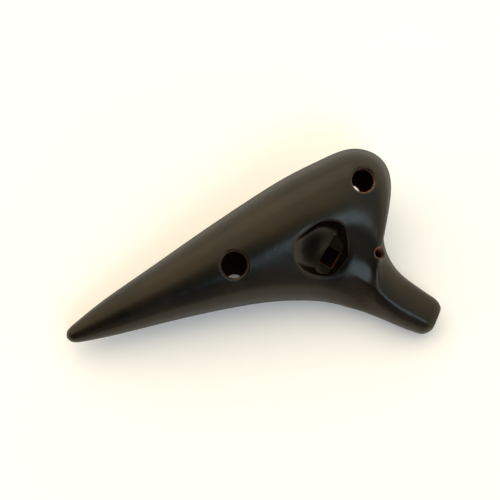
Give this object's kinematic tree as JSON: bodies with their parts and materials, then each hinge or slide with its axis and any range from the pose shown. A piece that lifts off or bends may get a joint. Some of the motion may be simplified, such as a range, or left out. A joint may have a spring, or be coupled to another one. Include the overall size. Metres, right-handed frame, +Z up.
{
  "type": "ocarina",
  "caption": "Transverse clay ocarina: tapering hollow body with thumb and finger holes, scooped sound window, blowing stem and cord hole.",
  "frame": {"origin": "bottom centre of the bounding box, lying finger side down on its belly", "axes": "+X along the body from the tail to the round head, +Z up out of the thumb side, the blowing stem leaves towards -Y and +X"},
  "size_m": [0.1688, 0.0936, 0.0474],
  "materials": {
    "coated_clay": "satin black coat over fired clay",
    "raw_clay": "unglazed red-brown fired clay"
  },
  "bodies": {
    "root": {"front_shell": "coated_clay", "back_shell": "coated_clay", "mouthpiece": "coated_clay", "windway_floor": "raw_clay", "labium": "coated_clay"}
  },
  "joints": []
}
